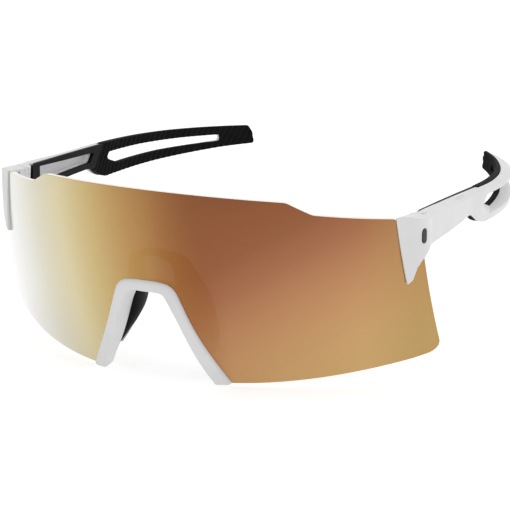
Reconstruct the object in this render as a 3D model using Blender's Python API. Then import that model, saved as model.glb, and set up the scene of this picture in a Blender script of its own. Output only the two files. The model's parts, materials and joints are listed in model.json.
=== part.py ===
"""Wraparound sport sunglasses: a one-piece shield lens, a bridge rim that carries the nose
pad, two lugs that hold the lens by its ends, and two folding temples with rubber grips.

Lengths are in millimetres until they are placed, and MM turns them into metres. The datum of
the drawing is the front of the lens on its centre line. +X points to the wearer's left,
+Y back along the temples and +Z up. The left side is drawn, and the right side mirrors it.
"""

import math

import bmesh
import bpy
from mathutils import Vector

MM = 0.001
CENTRE = Vector((0.0, 75.05, -3.63))  # centre of the whole object's box, the world origin
GAP = 0.3  # clearance between pieces that touch

# Shield lens: a surface w(u, v) swept back from the datum and leaned forward at the top.
LENS_THICKNESS = 2.0
LENS_RADIUS = 72.6
LENS_HALF_CHORD = 70.0
LENS_END_SWEEP = 4.25
LENS_FACE_SWEEP = 2.4
LENS_FACE_REACH = 25.0
LENS_TILT = math.radians(4.9)
LENS_EDGE_TAPER = 0.076  # the side edges lean out by this much per unit of depth

# Nose rim: how far it stands in front of and behind the lens, and how deep its groove is.
RIM_FRONT = 1.3
RIM_BACK_TOP = 6.0
RIM_BACK_END = 3.0
RIM_GROOVE = 0.45
RIM_BITE = 0.36

# Hinges: a pivot inside each lug, its axis leaning in at the top.
PIVOT = Vector((65.6, 41.6, 11.8))
PIVOT_LEAN = math.radians(4.0)
BARREL_RADIUS = 1.9
TONGUE_HALF = 1.7
SCREW_RADIUS = 0.65
SCREW_HEAD_RADIUS = 1.1
INSERT_RADIUS = 1.15

# Temples: straight back from the hinge, then a tight arc and a looser one round the head.
TEMPLE_X = 66.4
BEND_START = 84.0
BEND_EASE = 120.0
BEND_TIGHT = 97.5
BEND_LOOSE = 129.0
BOW = 0.7  # how far the arc stands out beyond those two radii
SHELL_OUT = 3.1
SHELL_IN = -1.1
RECESS_OUT = 0.75
LINER_IN = -2.4
INNER_WALL = 63.6
SKIN_X = 67.8
SEAM_Y = 43.4

FINISHES = {
    "white_plastic": ((0.80, 0.80, 0.81), 0.35, 0.0),
    "black_rubber": ((0.018, 0.018, 0.019), 0.75, 0.0),
    "black_plastic": ((0.02, 0.02, 0.02), 0.45, 0.0),
    "gold_mirror": ((0.72, 0.42, 0.16), 0.08, 0.9),
    "steel": ((0.55, 0.55, 0.56), 0.3, 1.0),
    "brass": ((0.75, 0.55, 0.25), 0.35, 1.0),
}


# ---------------------------------------------------------------- places


def clamp(value):
    return min(max(value, 0.0), 1.0)


def ease(value):
    part = clamp(value)
    return part * part * (3 - 2 * part)


def lens_front(u, v):
    """Point of the lens's front surface, u along the chord and v up its face."""
    sweep = u * u / (2 * LENS_RADIUS) + LENS_END_SWEEP * (u / LENS_HALF_CHORD) ** 4
    sweep += LENS_FACE_SWEEP * (v / LENS_FACE_REACH) ** 2
    back = sweep * math.cos(LENS_TILT) - v * math.sin(LENS_TILT)
    return Vector((u, back, v * math.cos(LENS_TILT) + sweep * math.sin(LENS_TILT)))


def lens_point(u, v, depth):
    """Point at a depth behind the lens's front surface."""
    step = 0.01
    across = lens_front(u + step, v) - lens_front(u - step, v)
    up = lens_front(u, v + step) - lens_front(u, v - step)
    return lens_front(u, v) + depth * up.cross(across).normalized()


def slim(along, out):
    """The outside dips in round the front of the slot, and the inside thins towards the tip."""
    core = GAP / 2
    if abs(out) <= core:
        return out
    if out < 0:
        share = 1 - 0.65 * clamp((along - 90) / 60)
    else:
        share = 1 - 0.50 * ease((along - 58) / 22) + 0.44 * ease((along - 86) / 26)
        share -= 0.22 * ease((along - 132) / 20)
    return math.copysign(core + (abs(out) - core) * share, out)


def temple_point(along, height, out):
    """Point of the left temple: along its middle line, up, and out from that line."""
    bow = BOW * ease((along - 80) / 45)
    out = slim(along, out) + bow
    along += 1.15 * bow
    tight = min(max(along - BEND_START, 0.0), BEND_EASE - BEND_START) / BEND_TIGHT
    turn = tight + max(along - BEND_EASE, 0.0) / BEND_LOOSE
    x = TEMPLE_X - BEND_TIGHT * (1 - math.cos(tight))
    x += -BEND_LOOSE * (math.cos(tight) - math.cos(turn)) + out * math.cos(turn)
    y = min(along, BEND_START) + BEND_TIGHT * math.sin(tight)
    y += BEND_LOOSE * (math.sin(turn) - math.sin(tight)) + out * math.sin(turn)
    return Vector((x, y, height))


def hinge_point(a, b, c):
    """Point in the left hinge's own frame, whose third axis is the pivot."""
    lean_cos, lean_sin = math.cos(PIVOT_LEAN), math.sin(PIVOT_LEAN)
    return PIVOT + Vector((a * lean_cos - c * lean_sin, b, a * lean_sin + c * lean_cos))


def plan_point(x, y, z):
    return Vector((x, y, z))


def side_point(y, z, x):
    return Vector((x, y, z))


# ---------------------------------------------------------------- outlines


def rounded(corners, steps=4):
    """Closed outline through (a, b, radius) corners, each one rounded to its radius."""
    points = []
    for index, (a, b, radius) in enumerate(corners):
        here = Vector((a, b))
        if radius == 0:
            points.append(here)
            continue
        back = (Vector(corners[index - 1][:2]) - here).normalized()
        ahead = (Vector(corners[(index + 1) % len(corners)][:2]) - here).normalized()
        half = back.angle(ahead) / 2
        middle = here + (back + ahead).normalized() * radius / math.sin(half)
        start = here + back * radius / math.tan(half) - middle
        end = here + ahead * radius / math.tan(half) - middle
        first = math.atan2(start.y, start.x)
        sweep = math.remainder(math.atan2(end.y, end.x) - first, math.tau)
        for step in range(steps + 1):
            angle = first + sweep * step / steps
            points.append(middle + radius * Vector((math.cos(angle), math.sin(angle))))
    return points


def circle(radius, a=0.0, b=0.0, count=20):
    turns = [math.tau * step / count for step in range(count)]
    return [Vector((a + radius * math.cos(t), b + radius * math.sin(t))) for t in turns]


def mirrored_outline(half):
    """Whole outline from its half at a >= 0, which starts and ends on the centre line."""
    other = [(-a, b, radius) for a, b, radius in reversed(half) if a > 0]
    return half + other


# ---------------------------------------------------------------- solids


def face_outwards(mesh):
    bmesh.ops.recalc_face_normals(mesh, faces=mesh.faces)
    if mesh.calc_volume(signed=True) < 0:
        bmesh.ops.reverse_faces(mesh, faces=mesh.faces)


def mesh_object(name, mesh):
    face_outwards(mesh)
    data = bpy.data.meshes.new(name)
    mesh.to_mesh(data)
    mesh.free()
    thing = bpy.data.objects.new(name, data)
    bpy.context.scene.collection.objects.link(thing)
    return thing


def flat_solid(name, outline, low, high):
    """Prism over an outline in the drawing plane, between two heights above it."""
    mesh = bmesh.new()
    face = mesh.faces.new([mesh.verts.new((a, b, low)) for a, b in outline])
    grown = bmesh.ops.extrude_face_region(mesh, geom=[face])["geom"]
    for vert in grown:
        if isinstance(vert, bmesh.types.BMVert):
            vert.co.z = high
    return mesh_object(name, mesh)


def put(thing, place, slices=((), ())):
    """Slices a flat solid at the given a and b values, then moves its points into place."""
    mesh = bmesh.new()
    mesh.from_mesh(thing.data)
    for axis, values in enumerate(slices):
        normal = [0.0, 0.0, 0.0]
        normal[axis] = 1.0
        for value in values:
            spot = [value * part for part in normal]
            everything = mesh.verts[:] + mesh.edges[:] + mesh.faces[:]
            bmesh.ops.bisect_plane(mesh, geom=everything, plane_co=spot, plane_no=normal)
    for vert in mesh.verts:
        vert.co = (place(*vert.co) - CENTRE) * MM
    face_outwards(mesh)
    mesh.to_mesh(thing.data)
    mesh.free()
    return thing


def solid(name, outline, low, high, place, slices=((), ())):
    return put(flat_solid(name, outline, low, high), place, slices)


def combine(target, operation, *tools):
    """Applies Booleans of one kind to the target and uses their tools up."""
    for tool in tools:
        modifier = target.modifiers.new(operation, "BOOLEAN")
        modifier.operation = operation
        modifier.object = tool
        graph = bpy.context.evaluated_depsgraph_get()
        made = bpy.data.meshes.new_from_object(target.evaluated_get(graph))
        target.modifiers.clear()
        made.name = target.name
        target.data = made
        bpy.data.objects.remove(tool)
    return target


def pin(name, radius, low, high, place=hinge_point, count=20):
    return solid(name, circle(radius, count=count), low, high, place)


def loft(name, sections):
    """Closed solid through a row of matching closed sections."""
    mesh = bmesh.new()
    rings = [[mesh.verts.new((place - CENTRE) * MM) for place in ring] for ring in sections]
    for ring, after in zip(rings, rings[1:]):
        for index in range(len(ring)):
            here, before = index, index - 1
            mesh.faces.new((ring[before], ring[here], after[here], after[before]))
    mesh.faces.new(rings[0])
    mesh.faces.new(rings[-1])
    return mesh_object(name, mesh)


def spaced(first, last, step):
    count = round((last - first) / step)
    return [first + (last - first) * index / count for index in range(count + 1)]


def finish(thing, kind, smooth_angle=35.0):
    """Gives a piece its own material and shades its round faces smooth."""
    colour, roughness, metallic = FINISHES[kind]
    material = bpy.data.materials.new(f"{thing.name}_{kind}")
    material.use_nodes = True
    shader = material.node_tree.nodes["Principled BSDF"]
    shader.inputs["Base Color"].default_value = (*colour, 1.0)
    shader.inputs["Roughness"].default_value = roughness
    shader.inputs["Metallic"].default_value = metallic
    thing.data.materials.clear()
    thing.data.materials.append(material)
    thing.data.shade_smooth()
    thing.data.set_sharp_from_angle(angle=math.radians(smooth_angle))
    return thing


# ---------------------------------------------------------------- lens, rim and nose pad

# Outer and inner lines of the left half of the rim on the lens face, from the centre down.
RIM_LINE = (
    ((0.0, -1.45), (0.0, -4.65)),
    ((5.8, -1.8), (4.4, -4.72)),
    ((7.8, -2.5), (5.45, -5.05)),
    ((9.5, -4.25), (6.15, -5.8)),
    ((10.95, -7.7), (7.4, -8.3)),
    ((12.97, -13.07), (9.75, -13.8)),
    ((15.3, -18.5), (11.65, -19.0)),
    ((18.7, -25.4), (14.5, -26.1)),
    ((22.3, -32.4), (17.6, -32.4)),
)


def between(outer, inner, part):
    return tuple(o + (i - o) * part for o, i in zip(outer, inner))


def lens_outline():
    crown = [(u, 24.8 - 2.8 * (u / 39.2) ** 2, 0) for u in spaced(0.0, 36.0, 6.0)]
    shoulder = [(39.2, 22.0, 3.0), (45.6, 17.95, 3.0), (63.6, 14.0, 0), (65.2, 12.6, 0)]
    side = [(LENS_HALF_CHORD - LENS_EDGE_TAPER * v, v, r) for v, r in ((12.0, 0.6), (-28.6, 3.0))]
    lower = [(u, -32.8 + 2.9 * ((u - 22.0) / 44.0) ** 2, 0) for u in (66.0, 58.0, 50.0, 40.0, 30.0)]
    bites = [between(outer, inner, RIM_BITE) for outer, inner in reversed(RIM_LINE)]
    notch = [(u, v, 0) for u, v in bites]
    notch[0] = (notch[0][0], -32.8, 0)
    return rounded(mirrored_outline(crown + shoulder + side + lower + notch))


def make_lens():
    lens = flat_solid("lens_shield", lens_outline(), 0.0, LENS_THICKNESS)
    holes = [
        flat_solid("hole", circle(1.0, side * SET_SCREW_U, SET_SCREW_V, 16), -1.0, 3.0)
        for side in (-1, 1)
    ]
    combine(lens, "DIFFERENCE", *holes)
    put(lens, lens_point, (spaced(-65.0, 65.0, 6.5), (-24.0, -16.0, -8.0, 2.0, 10.0, 18.0)))
    return finish(lens, "gold_mirror")


def make_nose_rim():
    """Grooved bar, swept round the notch: the lens's edge sits in the groove."""
    left = list(RIM_LINE)
    right = [((-o[0], o[1]), (-i[0], i[1])) for o, i in reversed(left[1:])]
    sections = []
    for outer, inner in right + left:
        fall = min(max((-outer[1] - 3.0) / 29.0, 0.0), 1.0)
        back = RIM_BACK_TOP + (RIM_BACK_END - RIM_BACK_TOP) * fall
        profile = (
            (0.0, -RIM_FRONT),
            (0.0, -GAP),
            (RIM_GROOVE, -GAP),
            (RIM_GROOVE, LENS_THICKNESS + GAP),
            (0.0, LENS_THICKNESS + GAP),
            (0.0, back),
            (1.0, back),
            (1.0, -RIM_FRONT),
        )
        sections.append([lens_point(*between(outer, inner, a), b) for a, b in profile])
    return finish(loft("nose_rim", sections), "white_plastic")


# Front edge, rear edge and half thickness of the left half of the saddle, top to bottom.
PAD_LINE = (
    (Vector((0.0, 7.6, 5.6)), Vector((0.0, 10.4, 5.6))),
    (Vector((4.6, 7.7, 5.0)), Vector((4.6, 11.0, 4.9))),
    (Vector((7.4, 7.8, 3.0)), Vector((7.6, 12.6, 2.8))),
    (Vector((8.4, 8.0, -1.5)), Vector((9.2, 16.0, -2.8))),
    (Vector((8.8, 8.4, -7.5)), Vector((10.3, 20.0, -8.4))),
    (Vector((9.9, 8.8, -12.5)), Vector((11.4, 21.2, -13.2))),
    (Vector((11.6, 9.2, -17.4)), Vector((13.0, 20.2, -17.8))),
    (Vector((13.4, 9.8, -21.4)), Vector((15.0, 18.0, -21.9))),
    (Vector((14.8, 10.6, -24.4)), Vector((15.8, 14.6, -24.7))),
)
PAD_THICKNESS = 2.4
CORE_HALF_WIDTH = 0.8  # bendable strip inside the pad
CORE_HALF_THICKNESS = 0.25


def pad_section(front, rear, inward):
    """Rounded bar between the two edges, its thickness laid on the nose side."""
    lift = inward * PAD_THICKNESS
    blend = (rear - front) * 0.12
    return [front + lift * 0.25, front + blend, rear - blend, rear + lift * 0.3,
            rear + lift * 0.7, rear - blend + lift, front + blend + lift, front + lift * 0.75]


def core_section(front, rear, inward, grow):
    """Flat strip half way between the pad's edges, in the middle of its thickness."""
    along = (rear - front).normalized() * (CORE_HALF_WIDTH + grow)
    over = inward * (CORE_HALF_THICKNESS + grow)
    middle = (front + rear) / 2 + inward * PAD_THICKNESS / 2
    return [middle - along - over, middle + along - over, middle + along + over, middle - along + over]


def pad_frames():
    """Front edge, rear edge and inward direction at each station of the pad's left half."""
    frames = []
    for index, (front, rear) in enumerate(PAD_LINE):
        before = PAD_LINE[max(index - 1, 0)][1]
        after = PAD_LINE[min(index + 1, len(PAD_LINE) - 1)][1]
        run = after - before if index else Vector((1.0, 0.0, 0.0))
        inward = run.cross(rear - front).normalized()
        frames.append((front, rear, inward if inward.x + inward.z < 0 else -inward))
    return frames


def saddle_loft(name, half):
    """Loft from the right wing's tip over the bridge to the left wing's tip."""
    other = [[Vector((-p.x, p.y, p.z)) for p in ring] for ring in reversed(half[1:])]
    return loft(name, other + half)


def make_nose_pad():
    """Rubber saddle with two wings for the sides of the nose, on a strip that can be bent."""
    frames = pad_frames()
    pad = saddle_loft("nose_pad", [pad_section(*frame) for frame in frames])
    front, rear, inward = frames[-1]
    past = (Vector((0.9, -1.6, -2.0)) + front, Vector((0.9, -1.6, -2.0)) + rear, inward)
    room = [core_section(*frame, GAP) for frame in frames + [past]]
    combine(pad, "DIFFERENCE", saddle_loft("room", room))
    core = saddle_loft("nose_pad_core", [core_section(*frame, 0.0) for frame in frames])
    finish(core, "steel")
    return finish(pad, "black_rubber", 60.0)


# ---------------------------------------------------------------- lugs and hinges

SET_SCREW_U = 66.4
SET_SCREW_V = 9.4
SET_SCREW_RADIUS = 0.7
CLAW_TIP = (66.35, -6.1)


def set_screw_place(a, b, c):
    return lens_point(SET_SCREW_U + a, SET_SCREW_V + b, c)


def lens_pocket():
    """Room for the end of the lens, with the clearance all round."""
    edge = LENS_HALF_CHORD + GAP + 0.05
    corners = (
        (50.0, 20.0, 0),
        (63.5, 14.5, 0),
        (65.3, 12.6 + GAP, 0),
        (edge - LENS_EDGE_TAPER * 12.0, 12.0 + 2 * GAP, 0),
        (edge + LENS_EDGE_TAPER * 40.0, -40.0, 0),
        (50.0, -40.0, 0),
    )
    slices = (spaced(52.0, 72.0, 4.0), (-20.0, -5.0, 4.0))
    return solid("pocket", rounded(corners), -GAP, LENS_THICKNESS + GAP, lens_point, slices)


def badge_place(a, b, c):
    """Facet of the lug that carries the badge: a back along it, b up and c out."""
    along = Vector((0.105, 0.9945, 0.0))
    out = Vector((0.9945, -0.105, 0.0))
    return Vector((70.35, 36.25, 10.95)) + along * a + Vector((0, 0, b)) + out * c


def badge_outline(grow=0.0):
    """Plain upright pill with rounded ends."""
    half, rise = 0.95 + grow, 2.1 + grow
    corners = ((-half, -rise), (half, -rise), (half, rise), (-half, rise))
    return rounded([(a, b, half - 0.01) for a, b in corners])


def lug_plan():
    """The lug from above: inner wall, lens end, outer wall and the skin over the hinge."""
    front = ((64.4, 1.0), (67.0, 1.0), (68.8, 1.0), (68.2, -1.0), (69.2, -1.25))
    along_lens = [lens_point(u, 10.0, depth) for u, depth in front]
    end = SEAM_Y - GAP
    outline = [(INNER_WALL, PIVOT.y - 0.7)] + [(p.x, p.y) for p in along_lens]
    outline += [(70.25, 35.2), (70.5, 37.6), (70.4, 39.6), (70.0, 41.6), (69.5, end)]
    return outline + [(SKIN_X, end), (SKIN_X, PIVOT.y - 0.7)]


# What is cut away above the lug, from front to back: place, height at the middle and outside.
LUG_CROWN = ((20.0, 18.3, 18.1), (29.6, 17.4, 17.2), (37.2, 16.5, 15.8), (50.0, 15.3, 14.7))


def lug_crown():
    sections = []
    for y, middle, outside in LUG_CROWN:
        profile = ((60.0, middle - 1.1), (66.4, middle), (70.0, outside), (74.0, outside - 0.9),
                   (74.0, 26.0), (60.0, 26.0))
        sections.append([Vector((x, y, z)) for x, z in profile])
    return loft("crown", sections)


def claw_place(u, v, depth):
    """The claw is thinner at its front edge, where it meets the lens."""
    if depth < 0:
        depth *= 0.45 + 0.55 * ease((u - 63.4) / 4.5)
    return lens_point(u, v, depth)


def make_lug():
    """End piece: a claw over the front of the lens, a block behind it, and a hinge tongue."""
    claw = ((63.25, 16.5, 0), (69.2, 16.5, 0), (69.9, 2.6, 2.5), (68.2, -2.3, 5.0), (*CLAW_TIP, 0.3))
    slices = ((64.6, 65.9, 67.2, 68.5), (4.0, 10.0))
    lug = solid("left_lug", rounded(claw, 4), -1.3, 1.0, claw_place, slices)
    combine(lug, "UNION", solid("block", lug_plan(), 2.5, 24.0, plan_point))
    side = (
        (20.0, 20.0), (50.0, 20.0), (50.0, 6.75), (42.4, 6.75), (40.4, 6.3),
        (38.4, 4.4), (36.9, 1.8), (35.6, -0.6), (33.0, -8.0), (20.0, -8.0),
    )
    combine(lug, "INTERSECT", solid("side", side, 50.0, 80.0, side_point))
    combine(lug, "DIFFERENCE", lug_crown(), lens_pocket())
    tongue = [(-BARREL_RADIUS, -2.6), (BARREL_RADIUS, -2.6)]
    tongue += [p for p in circle(BARREL_RADIUS, count=24) if p.y > -0.01]
    combine(lug, "UNION", solid("tongue", tongue, -4.0, 4.0, hinge_point))
    clear = BARREL_RADIUS + GAP
    combine(
        lug,
        "DIFFERENCE",
        pin("upper", clear, TONGUE_HALF, 9.0),
        pin("lower", clear, -9.0, -TONGUE_HALF),
    )
    combine(
        lug,
        "DIFFERENCE",
        pin("pivot_hole", SCREW_RADIUS + GAP, -9.0, 9.0),
        pin("set_hole", SET_SCREW_RADIUS + GAP, 0.2, 9.0, set_screw_place, 16),
        solid("badge_room", badge_outline(GAP), -0.75, 5.0, badge_place),
    )
    return finish(lug, "white_plastic")


def make_lug_fittings():
    """Badge, lens set screw, hinge screw and the insert that it threads into."""
    badge = solid("left_side_badge", badge_outline(), GAP - 0.75, 0.06, badge_place)
    set_screw = pin("left_lens_screw", SET_SCREW_RADIUS, 0.5, 3.3, set_screw_place, 16)
    screw = pin("left_hinge_screw", SCREW_RADIUS, -4.6, 3.2)
    combine(screw, "UNION", pin("head", SCREW_HEAD_RADIUS, -4.75, -4.2))
    insert = pin("left_hinge_insert", INSERT_RADIUS, TONGUE_HALF + 2 * GAP, 3.5)
    combine(insert, "DIFFERENCE", pin("bore", SCREW_RADIUS + GAP, 0.0, 5.0))
    return (
        [finish(badge, "black_plastic"), finish(set_screw, "steel")],
        [finish(screw, "steel"), finish(insert, "brass")],
    )


# ---------------------------------------------------------------- temples

SHELL_SIDE = (
    (SEAM_Y, 15.9, 0), (57.0, 15.15, 0), (72.0, 14.2, 0), (88.0, 13.1, 0), (98.0, 12.3, 0),
    (114.0, 11.1, 0), (130.0, 10.1, 0), (146.0, 8.95, 0), (153.0, 8.4, 2.4), (154.4, 3.2, 1.6),
    (143.0, 3.1, 0), (124.0, 2.95, 0), (96.0, 2.7, 6.0), (88.0, 3.2, 3.0), (82.0, 5.1, 2.0),
    (78.9, 6.9, 2.0), (75.7, 7.55, 2.5), (61.0, 7.5, 0), (SEAM_Y, 6.85, 0),
)
SHELL_SLOT = (
    (87.4, 8.0, 1.0), (90.0, 10.5, 1.2), (107.0, 9.8, 0), (126.0, 8.7, 0), (142.4, 7.5, 0.9),
    (143.0, 4.8, 0.9), (130.0, 4.6, 0), (117.0, 4.6, 0), (92.0, 4.8, 1.4),
)
SHELL_FRONT = (
    (SEAM_Y, 15.9, 0), (57.0, 15.15, 0), (72.0, 14.2, 0), (84.2, 13.4, 0), (78.8, 7.0, 0),
    (75.7, 7.5, 0), (61.0, 7.5, 0), (SEAM_Y, 6.85, 0),
)
GRIP_SIDE = (
    (85.05, 13.7, 0), (88.0, 13.62, 0), (107.6, 12.38, 0), (121.7, 11.5, 0), (134.6, 10.55, 0),
    (146.8, 9.58, 0), (153.6, 9.02, 1.1), (155.1, 6.8, 4.0), (155.75, 2.7, 0.9), (142.7, 2.8, 0),
    (130.3, 2.62, 0), (117.0, 2.5, 0), (97.0, 2.3, 6.0), (88.2, 2.45, 3.0), (84.2, 4.05, 2.0),
    (80.2, 6.3, 0), (79.45, 6.75, 0),
)
GRIP_SLOT = (
    (89.7, 7.95, 0.8), (91.2, 9.95, 0.9), (107.4, 9.33, 0), (126.0, 8.34, 0), (141.5, 7.28, 0.9),
    (142.2, 5.15, 0.8), (130.3, 5.43, 0), (117.1, 5.65, 0), (94.3, 5.72, 1.0),
)
LINER_SIDE = (
    (44.2, 16.0, 0), (60.4, 15.1, 0), (72.5, 14.3, 0), (84.7, 13.55, 0), (79.1, 6.9, 0),
    (75.0, 7.25, 0), (64.2, 7.4, 0), (44.2, 6.95, 0),
)
LINER_WINDOW = (
    (48.4, 14.2, 0.3), (63.3, 13.0, 0), (78.9, 11.9, 0.4), (76.35, 9.1, 0.4), (67.4, 9.25, 0),
    (48.4, 9.35, 0.3),
)
TAPER_LINES = (58.0, 61.0, 64.0, 68.0, 72.0, 76.0, 80.0)
BEND_LINES = spaced(84.0, 152.0, 4.0)


def temple_plate(name, side, opening, inner, outer):
    plate = flat_solid(name, rounded(side), inner, outer)
    if opening:
        hole = flat_solid("opening", rounded(opening), inner - 1.0, outer + 1.0)
        combine(plate, "DIFFERENCE", hole)
    return put(plate, temple_point, ((*TAPER_LINES, *BEND_LINES), ()))


def make_temple_shell():
    """Outer shell, thicker and hollowed out in front, with its hinge prongs and their neck."""
    shell = temple_plate("left_temple_shell", SHELL_SIDE, SHELL_SLOT, GAP / 2, SHELL_OUT)
    combine(shell, "UNION", temple_plate("front", SHELL_FRONT, None, SHELL_IN, 0.5))
    combine(shell, "DIFFERENCE", temple_plate("recess", LINER_WINDOW, None, -3.0, RECESS_OUT))
    neck_low, neck_high = 6.9, 15.6
    neck = ((PIVOT.x, PIVOT.y), (SKIN_X - GAP, PIVOT.y), (SKIN_X - GAP, 46.0), (PIVOT.x, 46.0))
    combine(shell, "UNION", solid("neck", neck, neck_low, neck_high, plan_point))
    combine(shell, "UNION", pin("barrel", BARREL_RADIUS, neck_low - PIVOT.z, neck_high - PIVOT.z))
    slot = TONGUE_HALF + GAP
    combine(
        shell,
        "DIFFERENCE",
        pin("slot", BARREL_RADIUS + GAP, -slot, slot),
        pin("shank_hole", SCREW_RADIUS + GAP, -9.0, 0.0),
        pin("insert_hole", INSERT_RADIUS + GAP, 0.0, 3.8),
        pin("head_hole", SCREW_HEAD_RADIUS + GAP, -9.0, -3.9),
    )
    return finish(shell, "white_plastic")


def make_temple_liner():
    """Black inner skin of the temple's front half, with a window onto the shell."""
    outer = SHELL_IN - GAP
    liner = temple_plate("left_temple_liner", LINER_SIDE, LINER_WINDOW, LINER_IN, outer)
    return finish(liner, "black_plastic")


def make_temple_grip():
    """Rubber sleeve of the rear half, forked round the slot and joined at the tip."""
    grip = temple_plate("left_temple_grip", GRIP_SIDE, GRIP_SLOT, LINER_IN, -GAP / 2)
    return finish(grip, "black_rubber")


# ---------------------------------------------------------------- assembly


def mirror_copy(thing):
    """The right-hand copy of a left-hand piece."""
    name = thing.name.replace("left", "right", 1)
    mesh = bmesh.new()
    mesh.from_mesh(thing.data)
    for vert in mesh.verts:
        vert.co.x = -vert.co.x
    bmesh.ops.reverse_faces(mesh, faces=mesh.faces)
    copy = mesh_object(name, mesh)
    for material in thing.data.materials:
        own = material.copy()
        own.name = material.name.replace("left", "right", 1)
        copy.data.materials.append(own)
    copy.data.shade_smooth()
    copy.data.set_sharp_from_angle(angle=math.radians(35.0))
    return copy


def hang(pieces, name, side):
    """Parents pieces to an empty on a hinge's axis, and moves their origins onto it."""
    axis = bpy.data.objects.new(name, None)
    axis.empty_display_size = 0.01
    bpy.context.scene.collection.objects.link(axis)
    spot = (PIVOT - CENTRE) * MM
    spot.x *= side
    axis.location = spot
    for piece in pieces:
        for vert in piece.data.vertices:
            vert.co -= spot
        piece.parent = axis


def build():
    for thing in list(bpy.data.objects):
        bpy.data.objects.remove(thing)
    make_lens()
    make_nose_rim()
    make_nose_pad()
    fixed = [make_lug()]
    held, turning = make_lug_fittings()
    fixed += held
    moving = turning + [make_temple_shell(), make_temple_liner(), make_temple_grip()]
    for piece in fixed:
        mirror_copy(piece)
    others = [mirror_copy(piece) for piece in moving]
    hang(moving, "left_hinge_axis", 1)
    hang(others, "right_hinge_axis", -1)


build()
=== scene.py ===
"""Looks of the wraparound sport sunglasses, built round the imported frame.

Shapes are drawn in millimetres from the datum of the part: the front of the lens on its
centre line, +X to the wearer's left, +Y back along the temples and +Z up. The left side is
drawn and the right side mirrors it.
"""

import json
import math

import bmesh
import bpy
from mathutils import Matrix, Vector

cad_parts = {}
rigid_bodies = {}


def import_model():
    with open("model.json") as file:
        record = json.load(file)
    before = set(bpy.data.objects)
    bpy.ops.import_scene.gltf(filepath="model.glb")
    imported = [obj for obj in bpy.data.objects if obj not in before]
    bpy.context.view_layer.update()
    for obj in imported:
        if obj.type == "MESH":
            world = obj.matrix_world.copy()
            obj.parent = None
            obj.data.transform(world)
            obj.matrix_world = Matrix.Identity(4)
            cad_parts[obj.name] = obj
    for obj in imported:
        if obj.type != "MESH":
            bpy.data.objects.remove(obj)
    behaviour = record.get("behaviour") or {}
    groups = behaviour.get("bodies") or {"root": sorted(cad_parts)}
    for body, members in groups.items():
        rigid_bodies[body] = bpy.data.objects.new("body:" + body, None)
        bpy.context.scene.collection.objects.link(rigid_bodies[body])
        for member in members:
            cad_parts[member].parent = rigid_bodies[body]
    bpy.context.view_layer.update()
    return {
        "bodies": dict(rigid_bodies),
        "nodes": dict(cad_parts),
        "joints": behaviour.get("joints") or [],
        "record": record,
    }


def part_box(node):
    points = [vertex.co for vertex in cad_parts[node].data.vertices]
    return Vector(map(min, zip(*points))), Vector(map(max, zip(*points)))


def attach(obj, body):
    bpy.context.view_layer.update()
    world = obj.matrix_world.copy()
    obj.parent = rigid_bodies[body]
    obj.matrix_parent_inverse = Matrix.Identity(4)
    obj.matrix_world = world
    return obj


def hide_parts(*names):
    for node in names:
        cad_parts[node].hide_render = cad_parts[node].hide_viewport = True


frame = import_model()

MM = 0.001
CENTRE = Vector((0.0, 75.05, -3.63))

# Shield lens.
LENS_THICKNESS = 2.0
LENS_RADIUS = 72.6
LENS_HALF_CHORD = 70.0
LENS_END_SWEEP = 4.25
LENS_FACE_SWEEP = 2.4
LENS_FACE_REACH = 25.0
LENS_TILT = math.radians(4.9)
LENS_EDGE_TAPER = 0.076
SHEET_TOLERANCE = 1e-4

# Hinges.
PIVOT = Vector((65.6, 41.6, 11.8))
PIVOT_LEAN = math.radians(4.0)
BARREL_RADIUS = 1.9
BARREL_GAP = 0.12
HOLE_GAP = 0.1
TONGUE_HALF = 1.7
TONGUE_GAP = 0.1
SCREW_RADIUS = 0.65
SCREW_HEAD_RADIUS = 1.1
INSERT_RADIUS = 1.15
NECK_LOW = 6.97
NECK_HIGH = 18.0

# Temples: straight, then a tight arc and a looser one round the head.
TEMPLE_X = 66.4
BEND_START = 84.0
BEND_EASE = 120.0
BEND_TIGHT = 97.5
BEND_LOOSE = 129.0
BOW = 0.7
BOW_START = 80.0
BOW_RUN = 45.0
BOW_STRETCH = 1.15

# Layers of the temple, out from its centre line, and the seam with the lug.
LINER_IN = -2.4
SHELL_IN = -1.2
RECESS_OUT = 0.1
SHELL_OUT = 3.1
SEAM_Y = 43.35
SKIN_X = 67.8
INNER_WALL = 63.6

# How its two sides thin along it: start, run and change of the share that is left.
THIN_CORE = 0.15
INSIDE_TAPER = (90.0, 60.0, -0.65)
OUTSIDE_CHANGES = ((58.0, 22.0, -0.50), (86.0, 26.0, 0.58), (130.0, 22.0, -0.34))

# Brightness of the surround in front, behind and overhead.
FRONT_LIGHT = 0.62
BACK_LIGHT = 0.95
TOP_LIGHT = 0.12
SEEN_LIGHT = 1.02
GLOSS_VEIL = 0.022
FLOOR_REACH = 6.0
FLOOR_GAP = 0.0005


# ---------------------------------------------------------------- places


def clamp(value):
    return min(max(value, 0.0), 1.0)


def ease(value):
    t = clamp(value)
    return t * t * (3 - 2 * t)


def lens_front(u, v):
    sweep = u * u / (2 * LENS_RADIUS) + LENS_END_SWEEP * (u / LENS_HALF_CHORD) ** 4
    sweep += LENS_FACE_SWEEP * (v / LENS_FACE_REACH) ** 2
    back = sweep * math.cos(LENS_TILT) - v * math.sin(LENS_TILT)
    return Vector((u, back, v * math.cos(LENS_TILT) + sweep * math.sin(LENS_TILT)))


def lens_inward(u, v):
    """Unit vector from the lens's front surface towards the face."""
    step = 0.01
    across = lens_front(u + step, v) - lens_front(u - step, v)
    up = lens_front(u, v + step) - lens_front(u, v - step)
    return up.cross(across).normalized()


def lens_point(u, v, depth):
    return lens_front(u, v) + depth * lens_inward(u, v)


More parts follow.
